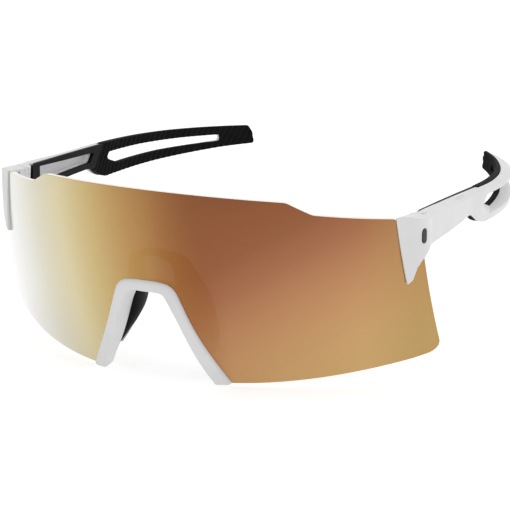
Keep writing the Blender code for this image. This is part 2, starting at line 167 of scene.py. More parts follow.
def inside_share(along):
    """The inside thins evenly towards the tip."""
    start, run, change = INSIDE_TAPER
    return 1 + change * clamp((along - start) / run)


def outside_share(along):
    """The outside dips in round the front of the slot and swells again at the bend."""
    return 1 + sum(change * ease((along - start) / run) for start, run, change in OUTSIDE_CHANGES)


def slim(along, out):
    if abs(out) <= THIN_CORE:
        return out
    share = inside_share(along) if out < 0 else outside_share(along)
    return math.copysign(THIN_CORE + (abs(out) - THIN_CORE) * share, out)


def temple_point(along, height, out):
    bow = BOW * ease((along - BOW_START) / BOW_RUN)
    out = slim(along, out) + bow
    along += BOW_STRETCH * bow
    tight = min(max(along - BEND_START, 0.0), BEND_EASE - BEND_START) / BEND_TIGHT
    turn = tight + max(along - BEND_EASE, 0.0) / BEND_LOOSE
    x = TEMPLE_X - BEND_TIGHT * (1 - math.cos(tight))
    x += -BEND_LOOSE * (math.cos(tight) - math.cos(turn)) + out * math.cos(turn)
    y = min(along, BEND_START) + BEND_TIGHT * math.sin(tight)
    y += BEND_LOOSE * (math.sin(turn) - math.sin(tight)) + out * math.sin(turn)
    return Vector((x, y, height))


def hinge_point(a, b, c):
    lean_cos, lean_sin = math.cos(PIVOT_LEAN), math.sin(PIVOT_LEAN)
    return PIVOT + Vector((a * lean_cos - c * lean_sin, b, a * lean_sin + c * lean_cos))


def plan_point(x, y, z):
    return Vector((x, y, z))


def side_point(y, z, x):
    return Vector((x, y, z))


# ---------------------------------------------------------------- outlines


def spaced(first, last, step):
    count = max(round(abs(last - first) / step), 1)
    return [first + (last - first) * index / count for index in range(count + 1)]


def rounded(corners, steps=8):
    """Closed outline through (a, b, radius) corners, each one rounded to its radius."""
    points = []
    for index, (a, b, radius) in enumerate(corners):
        here = Vector((a, b))
        if radius == 0:
            points.append(here)
            continue
        back = (Vector(corners[index - 1][:2]) - here).normalized()
        ahead = (Vector(corners[(index + 1) % len(corners)][:2]) - here).normalized()
        half = back.angle(ahead) / 2
        middle = here + (back + ahead).normalized() * radius / math.sin(half)
        start = here + back * radius / math.tan(half) - middle
        end = here + ahead * radius / math.tan(half) - middle
        first = math.atan2(start.y, start.x)
        sweep = math.remainder(math.atan2(end.y, end.x) - first, math.tau)
        for step in range(steps + 1):
            angle = first + sweep * step / steps
            points.append(middle + radius * Vector((math.cos(angle), math.sin(angle))))
    return points


def circle(radius, a=0.0, b=0.0, count=40):
    turns = [math.tau * step / count for step in range(count)]
    return [Vector((a + radius * math.cos(t), b + radius * math.sin(t))) for t in turns]


def curve(points, per, closed=False):
    """Catmull-Rom curve through points, as any vectors, with this many steps between two."""
    count = len(points)
    result = []
    for index in range(count if closed else count - 1):
        def pick(k):
            return points[k % count] if closed else points[min(max(k, 0), count - 1)]
        p0, p1, p2, p3 = (pick(index + k) for k in (-1, 0, 1, 2))
        for step in range(per):
            t = step / per
            result.append(0.5 * ((2 * p1) + (p2 - p0) * t + (2 * p0 - 5 * p1 + 4 * p2 - p3) * t * t
                                 + (3 * p1 - p0 - 3 * p2 + p3) * t ** 3))
    if not closed:
        result.append(points[-1].copy())
    return result


def flowing(points, per=6):
    return curve([Vector(point) for point in points], per)


# ---------------------------------------------------------------- solids


def face_outwards(mesh):
    bmesh.ops.recalc_face_normals(mesh, faces=mesh.faces)
    if mesh.calc_volume(signed=True) < 0:
        bmesh.ops.reverse_faces(mesh, faces=mesh.faces)


def mesh_object(name, mesh):
    face_outwards(mesh)
    data = bpy.data.meshes.new(name)
    mesh.to_mesh(data)
    mesh.free()
    thing = bpy.data.objects.new(name, data)
    bpy.context.scene.collection.objects.link(thing)
    return thing


def flat_solid(name, outline, low, high):
    mesh = bmesh.new()
    face = mesh.faces.new([mesh.verts.new((a, b, low)) for a, b in outline])
    grown = bmesh.ops.extrude_face_region(mesh, geom=[face])["geom"]
    for vert in grown:
        if isinstance(vert, bmesh.types.BMVert):
            vert.co.z = high
    return mesh_object(name, mesh)


def draft_solid(name, low_outline, high_outline, low, high):
    """Solid between two matching outlines, which may differ in size."""
    mesh = bmesh.new()
    lows = [mesh.verts.new((a, b, low)) for a, b in low_outline]
    highs = [mesh.verts.new((a, b, high)) for a, b in high_outline]
    for index in range(len(lows)):
        mesh.faces.new((lows[index - 1], lows[index], highs[index], highs[index - 1]))
    mesh.faces.new(lows)
    mesh.faces.new(highs)
    return mesh_object(name, mesh)


def edit(thing, change):
    mesh = bmesh.new()
    mesh.from_mesh(thing.data)
    change(mesh)
    mesh.to_mesh(thing.data)
    mesh.free()
    return thing


def soften(thing, width, segments=3, angle=38.0):
    """Rounds the sharp edges of a solid."""
    def change(mesh):
        bmesh.ops.remove_doubles(mesh, verts=mesh.verts, dist=0.002)
        bmesh.ops.dissolve_degenerate(mesh, edges=mesh.edges, dist=0.002)
        sharp = [
            edge for edge in mesh.edges
            if len(edge.link_faces) == 2 and edge.calc_face_angle() > math.radians(angle)
        ]
        bmesh.ops.bevel(mesh, geom=sharp, offset=width, offset_type="OFFSET", profile=0.5,
                        segments=segments, affect="EDGES", clamp_overlap=True)
    return edit(thing, change)


def slice_up(mesh, spot, normal):
    everything = mesh.verts[:] + mesh.edges[:] + mesh.faces[:]
    bmesh.ops.bisect_plane(mesh, geom=everything, plane_co=spot, plane_no=normal, dist=1e-5)


def put(thing, place, slices=((), ())):
    """Slices a flat solid at the given a and b values, then moves its points into place."""
    def change(mesh):
        for axis, values in enumerate(slices):
            normal = [0.0, 0.0, 0.0]
            normal[axis] = 1.0
            for value in values:
                slice_up(mesh, [value * part for part in normal], normal)
        for vert in mesh.verts:
            vert.co = (place(*vert.co) - CENTRE) * MM
        face_outwards(mesh)
    return edit(thing, change)


def solid(name, outline, low, high, place, slices=((), ())):
    return put(flat_solid(name, outline, low, high), place, slices)


def combine(target, operation, *tools):
    for tool in tools:
        modifier = target.modifiers.new(operation, "BOOLEAN")
        modifier.operation = operation
        modifier.object = tool
        graph = bpy.context.evaluated_depsgraph_get()
        made = bpy.data.meshes.new_from_object(target.evaluated_get(graph))
        target.modifiers.clear()
        target.data = made
        bpy.data.objects.remove(tool)
    return target


def pin(name, radius, low, high, place=hinge_point, count=40):
    return solid(name, circle(radius, count=count), low, high, place)


def loft(name, sections):
    """Closed solid through a row of matching closed sections."""
    mesh = bmesh.new()
    rings = [[mesh.verts.new((place - CENTRE) * MM) for place in ring] for ring in sections]
    for ring, after in zip(rings, rings[1:]):
        for index in range(len(ring)):
            mesh.faces.new((ring[index - 1], ring[index], after[index], after[index - 1]))
    mesh.faces.new(rings[0])
    mesh.faces.new(rings[-1])
    return mesh_object(name, mesh)


def mirror_copy(thing, name):
    def change(mesh):
        for vert in mesh.verts:
            vert.co.x = -vert.co.x
        bmesh.ops.reverse_faces(mesh, faces=mesh.faces)
    copy = bpy.data.objects.new(name, thing.data.copy())
    bpy.context.scene.collection.objects.link(copy)
    return edit(copy, change)


def shade(thing, angle=40.0, weighted=True):
    thing.data.shade_smooth()
    thing.data.set_sharp_from_angle(angle=math.radians(angle))
    if not weighted:
        return thing
    modifier = thing.modifiers.new("normals", "WEIGHTED_NORMAL")
    modifier.keep_sharp = True
    modifier.weight = 50
    graph = bpy.context.evaluated_depsgraph_get()
    made = bpy.data.meshes.new_from_object(thing.evaluated_get(graph))
    thing.modifiers.clear()
    thing.data = made
    return thing


def melt(thing, voxel, rounds):
    """Rebuilds a solid on a fine grid and relaxes it, so that every edge is a little round."""
    remesh = thing.modifiers.new("grid", "REMESH")
    remesh.mode = "VOXEL"
    remesh.voxel_size = voxel * MM
    relax = thing.modifiers.new("relax", "SMOOTH")
    relax.factor = 0.5
    relax.iterations = rounds
    graph = bpy.context.evaluated_depsgraph_get()
    made = bpy.data.meshes.new_from_object(thing.evaluated_get(graph))
    thing.modifiers.clear()
    thing.data = made
    return thing


# ---------------------------------------------------------------- materials


class Nodes:
    """Short hand for building one material's node tree."""

    def __init__(self, name):
        self.material = bpy.data.materials.new(name)
        self.material.use_nodes = True
        self.tree = self.material.node_tree
        self.shader = self.tree.nodes["Principled BSDF"]
        self.place = self.add("ShaderNodeTexCoord").outputs["Object"]

    def add(self, kind, **settings):
        node = self.tree.nodes.new(kind)
        for key, value in settings.items():
            setattr(node, key, value)
        return node

    def link(self, source, target):
        self.tree.links.new(source, target)

    def set(self, **values):
        for key, value in values.items():
            self.shader.inputs[key.replace("_", " ")].default_value = value

    def noise(self, scale, detail=3.0, rough=0.5):
        node = self.add("ShaderNodeTexNoise")
        node.inputs["Scale"].default_value = scale
        node.inputs["Detail"].default_value = detail
        node.inputs["Roughness"].default_value = rough
        self.link(self.place, node.inputs["Vector"])
        return node.outputs["Fac"]

    def ramp(self, factor, stops, ease_kind="LINEAR"):
        node = self.add("ShaderNodeValToRGB")
        node.color_ramp.interpolation = ease_kind
        elements = node.color_ramp.elements
        while len(elements) < len(stops):
            elements.new(0.5)
        for element, (spot, colour) in zip(elements, stops):
            element.position = spot
            element.color = (*colour, 1.0)
        self.link(factor, node.inputs["Fac"])
        return node.outputs["Color"]

    def remap(self, source, low, high, to_low, to_high):
        node = self.add("ShaderNodeMapRange")
        for key, value in zip(("From Min", "From Max", "To Min", "To Max"),
                              (low, high, to_low, to_high)):
            node.inputs[key].default_value = value
        self.link(source, node.inputs["Value"])
        return node.outputs["Result"]

    def maths(self, operation, *values):
        node = self.add("ShaderNodeMath", operation=operation)
        for index, value in enumerate(values):
            if isinstance(value, (int, float)):
                node.inputs[index].default_value = value
            else:
                self.link(value, node.inputs[index])
        return node.outputs[0]

    def mix(self, factor, first, second):
        node = self.add("ShaderNodeMix", data_type="RGBA")
        for key, value in ((0, factor), (6, first), (7, second)):
            if isinstance(value, (int, float)):
                node.inputs[key].default_value = value
            elif isinstance(value, tuple):
                node.inputs[key].default_value = (*value, 1.0)
            else:
                self.link(value, node.inputs[key])
        return node.outputs[2]

    def bump(self, height, strength, distance):
        node = self.add("ShaderNodeBump")
        node.inputs["Strength"].default_value = strength
        node.inputs["Distance"].default_value = distance
        self.link(height, node.inputs["Height"])
        self.link(node.outputs["Normal"], self.shader.inputs["Normal"])


def linear(red, green, blue):
    """Linear colour of a display colour given as 0 to 255."""
    def one(value):
        share = value / 255
        return share / 12.92 if share <= 0.04045 else ((share + 0.055) / 1.055) ** 2.4
    return (one(red), one(green), one(blue))


def mirror_tone(red, green, blue):
    """Colour under the mirror's own pale gloss."""
    return tuple(max(part - GLOSS_VEIL, 0.004) for part in linear(red, green, blue))


def moulded(name, tone, grain, gloss, relief, specular, spots=(0.3, 0.7)):
    """Moulded material. tone is two colours, grain the scale and detail of their pattern, gloss
    its scale, detail and two roughness values, relief its scale, detail, strength and height."""
    n = Nodes(name)
    n.link(n.ramp(n.noise(*grain), tuple(zip(spots, tone))), n.shader.inputs["Base Color"])
    scale, detail, low, high = gloss
    n.link(n.remap(n.noise(scale, detail), 0.3, 0.7, low, high), n.shader.inputs["Roughness"])
    if relief:
        scale, detail, strength, height = relief
        n.bump(n.noise(scale, detail), strength, height)
    n.set(Specular_IOR_Level=specular)
    return n.material


def white_plastic():
    tone = (linear(212, 212, 213), linear(217, 217, 217))
    return moulded("white_moulded_plastic", tone, (90, 4), (1400, 2, 0.30, 0.40),
                   (5200, 3, 0.12, 0.00004), 0.4, (0.35, 0.65))


def black_rubber():
    tone = ((0.0050, 0.0050, 0.0052), (0.0078, 0.0078, 0.0081))
    return moulded("black_soft_rubber", tone, (260, 5), (1900, 3, 0.58, 0.74),
                   (7000, 4, 0.35, 0.00006), 0.06)


def black_plastic():
    tone = ((0.0055, 0.0055, 0.0057), (0.0080, 0.0079, 0.0082))
    return moulded("black_satin_plastic", tone, (200, 3), (2600, 3, 0.45, 0.58),
                   (9000, 2, 0.25, 0.00004), 0.07)


def badge_ink():
    tone = (linear(24, 24, 25), linear(31, 31, 32))
    return moulded("dark_badge", tone, (700, 2), (3000, 2, 0.35, 0.5), None, 0.5)


def lens_edge():
    """Cut edge of the lens, a little frosted; its pale cream colour is painted highlight, the light
    seen through the clear edge.
    """
    # Pale cream tone: painted highlight of light shining through the clear cut edge.
    tone = (linear(236, 226, 214), linear(246, 238, 228))
    return moulded("lens_edge_painted_highlight", tone, (500, 3), (2500, 2, 0.25, 0.4), None, 0.5)


def metal(name, dark, light, rough_low, rough_high):
    """Turned metal with fine rings of brushing."""
    n = Nodes(name)
    stretch = n.add("ShaderNodeMapping")
    stretch.inputs["Scale"].default_value = (900, 900, 12000)
    n.link(n.place, stretch.inputs["Vector"])
    grain = n.add("ShaderNodeTexNoise")
    grain.inputs["Scale"].default_value = 1.0
    grain.inputs["Detail"].default_value = 3.0
    n.link(stretch.outputs["Vector"], grain.inputs["Vector"])
    n.link(n.ramp(grain.outputs["Fac"], ((0.3, dark), (0.7, light))), n.shader.inputs["Base Color"])
    n.link(n.remap(grain.outputs["Fac"], 0.3, 0.7, rough_low, rough_high),
           n.shader.inputs["Roughness"])
    n.set(Metallic=1.0)
    n.bump(grain.outputs["Fac"], 0.2, 0.00003)
    return n.material


# Display colours of the mirror, by place: across it from its pale side, then down its warm side. The
# near-white stops at the outer end of the pale side are painted reflection, the studio's white glare
# at a grazing angle; the rest is the gold and copper of the coating.
PALE_SIDE_WITH_PAINTED_REFLECTION = (
    (0.00, (238, 237, 236)), (0.15, (225, 224, 219)), (0.33, (213, 208, 188)),
    (0.47, (213, 201, 162)), (0.60, (200, 177, 124)), (0.73, (183, 146, 93)),
    (0.87, (163, 116, 72)), (1.00, (144, 94, 59)),
)
WARM_SIDE = (
    (0.00, (134, 85, 59)), (0.18, (143, 90, 61)), (0.28, (146, 94, 66)), (0.42, (163, 110, 79)),
    (0.57, (181, 132, 94)), (0.70, (193, 147, 103)), (0.84, (199, 160, 110)), (1.00, (202, 168, 113)),
)
FAR_END = (168, 138, 84)


def mirror_stops(stops):
    return tuple((spot, mirror_tone(*tone)) for spot, tone in stops)


def lens_tones(n):
    """Colour of the mirror over the lens: pale gold on one side, whitening at its far end into a
    painted reflection of glare, copper red at the middle of the top, warm gold low on the other side."""
    split = n.add("ShaderNodeSeparateXYZ")
    n.link(n.place, split.inputs["Vector"])
    across, rise = split.outputs["X"], split.outputs["Z"]
    side = n.maths("ADD", across, n.maths("MULTIPLY", rise, 0.22))
    # Pale side: painted reflection, near-white glare at its outer end, turning into the gold of the
    # coating.
    left = n.ramp(n.remap(side, -0.070, 0.020, 0.0, 1.0), mirror_stops(PALE_SIDE_WITH_PAINTED_REFLECTION))
    field = n.maths("SUBTRACT", n.maths("MULTIPLY", across, 0.615), rise)
    right = n.ramp(n.remap(field, -0.016, 0.060, 0.0, 1.0), mirror_stops(WARM_SIDE))
    body = n.mix(n.remap(across, 0.002, 0.024, 0.0, 1.0), left, right)
    return n.mix(n.remap(across, 0.056, 0.068, 0.0, 0.5), body, mirror_tone(*FAR_END))


def lens_coating_and_painted_reflection():
    n = Nodes("gold_mirror_with_painted_reflection")
    faint = n.ramp(n.noise(30, 2, 0.4), ((0.3, (0.965, 0.965, 0.965)), (0.7, (1.0, 1.0, 1.0))))
    tint = n.add("ShaderNodeMix", data_type="RGBA", blend_type="MULTIPLY")
    tint.inputs[0].default_value = 1.0
    n.link(lens_tones(n), tint.inputs[6])
    n.link(faint, tint.inputs[7])
    n.link(tint.outputs[2], n.shader.inputs["Base Color"])
    n.link(n.remap(n.noise(60, 2), 0.3, 0.7, 0.18, 0.21), n.shader.inputs["Roughness"])
    n.set(Metallic=0.96, Coat_Weight=0.08, Coat_Roughness=0.05, Alpha=0.965)
    return n.material


def lens_inside():
    """Tinted side of the lens that faces the wearer."""
    n = Nodes("brown_lens_tint")
    n.link(n.ramp(n.noise(40, 2, 0.4), ((0.3, linear(92, 62, 44)), (0.7, linear(101, 69, 49)))),
           n.shader.inputs["Base Color"])
    n.link(n.remap(n.noise(60, 2), 0.3, 0.7, 0.11, 0.13), n.shader.inputs["Roughness"])
    n.set(Metallic=0.35, Coat_Weight=0.4, Coat_Roughness=0.04, Alpha=0.6)
    return n.material


# ---------------------------------------------------------------- lens, rim and nose pad

# The lens outline: the crown falls towards the shoulders, the lower edge rises towards them.
LENS_TOP = 24.8
CROWN_FALL = 2.8
CROWN_END = 39.2
LENS_LOW = -32.8
LOW_RISE = 2.9
LOW_START = 22.0
LOW_RUN = 44.0
LENS_HOLE_RADIUS = 1.0
LENS_GRID = 1.75
RIM_LINE = (
    ((0.0, -1.45), (0.0, -4.65)), ((3.0, -1.48), (2.4, -4.63)), ((5.8, -1.80), (4.4, -4.72)),
    ((7.3, -2.25), (5.2, -4.92)), ((8.5, -3.05), (5.75, -5.25)), ((9.5, -4.25), (6.15, -5.8)),
    ((10.2, -5.8), (6.65, -6.7)), ((10.95, -7.7), (7.4, -8.3)), ((12.97, -13.07), (9.75, -13.8)),
    ((15.3, -18.5), (11.65, -19.0)), ((18.7, -25.4), (14.5, -26.1)), ((22.4, -32.4), (17.6, -32.4)),
)
RIM_BITE = 0.36
RIM_GROOVE = 0.45
RIM_CAPS = ((0.985, 0.10), (0.94, 0.22), (0.86, 0.30))
RIM_DEPTH = ((-1.0, 6.0), (-14.0, 6.2), (-22.0, 4.6), (-28.0, 3.0), (-33.0, 2.5))


def between(first, second, part):
    return tuple(a + (b - a) * part for a, b in zip(first, second))


def stepwise(pairs, value):
    """Straight-line interpolation in a list of (position, result), positions falling."""
    if value >= pairs[0][0]:
        return pairs[0][1]
    for (high, first), (low, second) in zip(pairs, pairs[1:]):
        if value >= low:
            return first + (second - first) * (high - value) / (high - low)
    return pairs[-1][1]


def rim_stations(per):
    outer = flowing([pair[0] for pair in RIM_LINE], per)
    inner = flowing([pair[1] for pair in RIM_LINE], per)
    return list(zip(outer, inner))


def mirrored_outline(half):
    other = [(-a, b, radius) for a, b, radius in reversed(half) if a > 0]
    return half + other


def lens_outline():
    crown = [
        (u, LENS_TOP - CROWN_FALL * (u / CROWN_END) ** 2, 0) for u in spaced(0.0, 36.0, 3.0)
    ]
    shoulder = [(CROWN_END, 22.0, 4.0), (45.6, 17.95, 4.0), (63.6, 14.0, 0), (65.2, 12.6, 0)]
    side = [(LENS_HALF_CHORD - LENS_EDGE_TAPER * v, v, r) for v, r in ((12.0, 0.6), (-28.6, 3.6))]
    lower = [
        (u, LENS_LOW + LOW_RISE * ((u - LOW_START) / LOW_RUN) ** 2, 0)
        for u in spaced(66.0, 26.0, 4.0)
    ]
    stations = reversed(rim_stations(4))
    notch = [(*between(outer, inner, RIM_BITE), 0) for outer, inner in stations]
    notch[0] = (notch[0][0], LENS_LOW, 0)
    return rounded(mirrored_outline(crown + shoulder + side + lower + notch))


def make_lens():
    lens = flat_solid("shield_lens", lens_outline(), 0.0, LENS_THICKNESS)
    holes = [
        flat_solid("hole", circle(LENS_HOLE_RADIUS, side * SET_SCREW_U, SET_SCREW_V, 28), -1.0, 3.0)
        for side in (-1, 1)
    ]
    combine(lens, "DIFFERENCE", *holes)
    soften(lens, 0.22, 2, 50.0)
    normals = []

    def bend(mesh):
        grid = (spaced(-70.0, 70.0, LENS_GRID), spaced(-31.5, 24.5, LENS_GRID))
        for axis, values in enumerate(grid):
            normal = [0.0, 0.0, 0.0]
            normal[axis] = 1.0
            for value in values:
                slice_up(mesh, [value * part for part in normal], normal)
        mesh.normal_update()
        for face in mesh.faces:
            level = face.calc_center_median().z
            if abs(face.normal.z) < 0.9:
                face.material_index = 1
            else:
                face.material_index = 0 if level < LENS_THICKNESS / 2 else 2
        flat_spots = [vert.co.copy() for vert in mesh.verts]
        for vert in mesh.verts:
            vert.co = (lens_point(*vert.co) - CENTRE) * MM
        face_outwards(mesh)
        mesh.normal_update()
        for vert, (u, v, depth) in zip(mesh.verts, flat_spots):
            if min(abs(depth), abs(depth - LENS_THICKNESS)) > SHEET_TOLERANCE:
                normals.append(vert.normal.copy())
            else:
                inward = lens_inward(u, v)
                normals.append(inward if depth > LENS_THICKNESS / 2 else -inward)

    edit(lens, bend)
    lens.data.materials.append(lens_coating_and_painted_reflection())
    lens.data.materials.append(lens_edge())
    lens.data.materials.append(lens_inside())
    lens.data.shade_smooth()
    lens.data.normals_split_custom_set_from_vertices(normals)
    return lens


def rim_profile(width, back):
    """Section of the rim: (distance in from its outer line, depth behind the lens front)."""
    groove = width * RIM_GROOVE
    return (
        (0.0, 0.03), (0.03, -0.3), (0.26, -0.76), (0.62, -1.12), (1.05, -1.28), (1.6, -1.33),
        (width - 0.75, -1.32), (width - 0.35, -1.24), (width - 0.1, -1.02), (width, -0.7),
        (width, 0.6), (width, back - 0.9), (width - 0.08, back - 0.35), (width - 0.35, back - 0.06),
        (width - 0.8, back), (width - 1.25, back - 0.1), (width - 1.5, back - 0.5),
        (width - 1.6, LENS_THICKNESS + 0.75), (width - 2.0, LENS_THICKNESS + 0.55),
        (0.35, LENS_THICKNESS + 0.5), (0.1, LENS_THICKNESS + 0.35), (0.0, LENS_THICKNESS + 0.05),
        (groove, LENS_THICKNESS + 0.05), (groove, 0.03),
    )


def make_rim():
    half = rim_stations(5)
    whole = [((-o[0], o[1]), (-i[0], i[1])) for o, i in reversed(half[1:])] + half
    sections = []
    for outer, inner in whole:
        width = math.dist(outer, inner)
        back = stepwise(RIM_DEPTH, outer[1])
        ring = [
            lens_point(*between(outer, inner, across / width), depth)
            for across, depth in rim_profile(width, back)
        ]
        sections.append(ring)

    def closing(ring, share, step):
        middle = sum(ring, Vector()) / len(ring)
        shift = Vector((0.0, 0.0, -step))
        return [middle + (point - middle) * share + shift for point in ring]

    start = [closing(sections[0], share, step) for share, step in reversed(RIM_CAPS)]
    end = [closing(sections[-1], share, step) for share, step in RIM_CAPS]
    return shade(loft("bridge_rim", start + sections + end), 55.0)


PAD_LINE = (
    ((0.0, 4.3, 7.1), (0.0, 9.0, 5.6)), ((2.2, 4.4, 6.8), (2.2, 9.2, 5.4)),
    ((4.6, 4.5, 5.6), (4.6, 10.2, 4.9)), ((7.4, 4.4, 4.0), (7.6, 12.4, 2.8)),
    ((8.3, 4.6, -0.5), (9.2, 16.0, -2.8)), ((8.6, 6.0, -7.0), (10.3, 20.0, -8.4)),
    ((9.6, 7.6, -12.0), (11.4, 21.2, -13.2)), ((11.4, 8.6, -17.0), (13.0, 20.2, -17.8)),
    ((13.3, 9.4, -21.0), (15.0, 17.0, -21.6)), ((14.8, 9.8, -23.8), (15.7, 12.6, -24.2)),
)


def pad_frames(per):
    fronts = curve([Vector(pair[0]) for pair in PAD_LINE], per)
    rears = curve([Vector(pair[1]) for pair in PAD_LINE], per)
    frames = []
    for index, (front, rear) in enumerate(zip(fronts, rears)):
        before, after = rears[max(index - 1, 0)], rears[min(index + 1, len(rears) - 1)]
        run = after - before if index else Vector((1.0, 0.0, 0.0))
        inward = run.cross(rear - front).normalized()
        frames.append((front, rear, inward if inward.x + inward.z < 0 else -inward))
    return frames


def pad_section(front, rear, inward):
    """Rounded wedge: thick at the middle, thin along the rear edge and towards the tip."""
    inward = inward * (1 - 0.55 * ease((-front.z - 12.0) / 12.0))
    across = rear - front
    shape = (
        (0.0, 0.75), (0.02, 0.35), (0.07, 0.08), (0.16, 0.0), (0.4, 0.0), (0.65, 0.0), (0.9, 0.02),
        (0.98, 0.12), (1.0, 0.3), (0.98, 0.5), (0.9, 0.72), (0.72, 1.35), (0.55, 1.9), (0.4, 2.25),
        (0.26, 2.3), (0.13, 2.1), (0.05, 1.7), (0.01, 1.2),
    )
    return [front + across * part + inward * lift for part, lift in shape]


def saddle_loft(name, half):
    other = [[Vector((-p.x, p.y, p.z)) for p in ring] for ring in reversed(half[1:])]
    return loft(name, other + half)


def make_pad():
    frames = pad_frames(6)
    half = [pad_section(*frame) for frame in frames]
    last = half[-1]
    middle = sum(last, Vector()) / len(last)
    past = Vector((0.35, -1.0, -1.3))
    for share, step in ((0.8, 0.5), (0.5, 0.85), (0.15, 1.0)):
        half.append([middle + (point - middle) * share + past * step for point in last])
    return shade(saddle_loft("nose_saddle", half), 60.0, False)


# ---------------------------------------------------------------- lugs and hinges

SET_SCREW_U = 66.4
SET_SCREW_V = 9.4
SET_SCREW_RADIUS = 0.7
CLAW = (
    (63.7, 16.5, 0), (69.2, 16.5, 0), (69.8, 1.0, 1.0), (69.0, -1.5, 4.0), (67.5, -4.1, 4.0),
    (66.0, -5.9, 0.1),
)
CLAW_DEPTH = (-1.3, 1.0)
# The lug from above: (u, depth) on the lens at this level, then (x, y) down its outside.
LUG_LEVEL = 10.0
LUG_NOSE = ((64.4, 1.0), (67.0, 1.0), (68.6, 1.0), (67.9, -0.9))
LUG_BOW = (68.4, -1.2)
LUG_SWEEP = (
    (69.95, 36.0), (70.35, 37.6), (70.4, 39.6), (70.08, 41.6), (69.72, SEAM_Y),
    (69.4, SEAM_Y + 1.4),
)
# Its crown: y with the height over the middle and over the outside.
LUG_CROWN = (
    (20.0, 18.3, 18.1), (29.6, 17.4, 17.2), (37.2, 16.5, 15.8), (43.35, 16.0, 15.35),
    (50.0, 15.4, 14.9),
)
# Its outline from the side.
LUG_SIDE = (
    (20.0, 20.0, 0), (46.0, 20.0, 0), (46.0, 6.8, 0), (42.3, 6.9, 0.8), (40.6, 6.5, 1.5),
    (39.2, 5.7, 0), (37.3, 4.5, 0), (36.2, 3.85, 1.0), (34.8, 1.6, 2.0), (33.0, -8.0, 0),
    (20.0, -8.0, 0),
)
WALL_RECESS = ((33.2, 14.6), (36.4, 15.6), (35.9, 14.2))
LUG_VOXEL = 0.14
BADGE_MIDDLE = Vector((70.2, 36.8, 10.95))
BADGE_ALONG = Vector((0.22, 0.9755, 0.0))
BADGE_OUT = Vector((0.9755, -0.22, 0.0))
BADGE_HALF = 0.95
BADGE_RISE = 2.1


def set_screw_place(a, b, c):
    return lens_point(SET_SCREW_U + a, SET_SCREW_V + b, c)


def badge_place(a, b, c):
    """Facet of the lug that carries the badge: a back along it, b up and c out."""
    return BADGE_MIDDLE + BADGE_ALONG * a + Vector((0, 0, b)) + BADGE_OUT * c


def badge_outline(grow=0.0):
    half, rise = BADGE_HALF + grow, BADGE_RISE + grow
    corners = ((-half, -rise), (half, -rise), (half, rise), (-half, rise))
    return rounded([(a, b, half - 0.01) for a, b in corners], 10)


def lens_pocket():
    edge = LENS_HALF_CHORD + 0.1
    corners = (
        (50.0, 20.0, 0), (63.5, 14.5, 0), (65.3, 12.65, 0),
        (edge - LENS_EDGE_TAPER * 12.0, 12.1, 0), (edge + LENS_EDGE_TAPER * 40.0, -40.0, 0),
        (50.0, -40.0, 0),
    )
    slices = (spaced(51.0, 72.0, 1.5), spaced(-38.0, 12.0, 5.0))
    return solid("pocket", rounded(corners), 0.03, LENS_THICKNESS + 0.06, lens_point, slices)


def lug_plan():
    """The lug from above: inner wall, lens end, smooth outer wall and skin over the hinge."""
    nose = [lens_point(u, LUG_LEVEL, depth) for u, depth in LUG_NOSE]
    bow = lens_point(LUG_BOW[0], LUG_LEVEL, LUG_BOW[1])
    outer = flowing([(bow.x, bow.y), *LUG_SWEEP], 5)
    outline = [(INNER_WALL, PIVOT.y - 0.7)] + [(p.x, p.y) for p in nose]
    return outline + [(p.x, p.y) for p in outer] + [(SKIN_X, SEAM_Y + 1.4), (SKIN_X, PIVOT.y - 0.7)]


def lug_top():
    """What is cut away above the lug: its top is crowned and falls towards the temple."""
    sections = []
    for y, middle, outside in LUG_CROWN:
        profile = (
            (60.0, middle - 1.1), (63.4, middle - 0.55), (65.2, middle - 0.08), (66.6, middle),
            (67.4, middle - 0.06), (70.0, outside), (74.0, outside - 0.9), (74.0, 26.0), (60.0, 26.0),
        )
        sections.append([Vector((x, y, z)) for x, z in profile])
    return loft("lug_top", sections)


def block_place(x, y, z):
    """Leans the front of the lug's block with the lens, and leaves its back upright."""
    rise = z - lens_front(69.0, 0.0).z
    lean = lens_front(69.0, rise).y - lens_front(69.0, 10.0).y
    return Vector((x, y + lean * clamp((42.0 - y) / 8.0), z))


def claw_place(u, v, depth):
    """The claw is thinner at its front edge, where it meets the lens."""
    if depth < 0:
        depth *= (0.3 + 0.7 * ease((u - 63.4) / 4.5)) * (1 - 0.55 * ease((u - 68.0) / 2.0))
    return lens_point(u, v, depth)


def trim(lug):
    """Cuts the lug flat where the temple starts."""
    def change(mesh):
        everything = mesh.verts[:] + mesh.edges[:] + mesh.faces[:]
        spot = (Vector((0.0, SEAM_Y - 0.06, 0.0)) - CENTRE) * MM
        cut = bmesh.ops.bisect_plane(mesh, geom=everything, plane_co=spot, plane_no=(0, 1, 0),
                                     dist=1e-7, clear_outer=True)["geom_cut"]
        rim = [part for part in cut if isinstance(part, bmesh.types.BMEdge)]
        bmesh.ops.triangle_fill(mesh, edges=rim, use_beauty=True)
    return edit(lug, change)


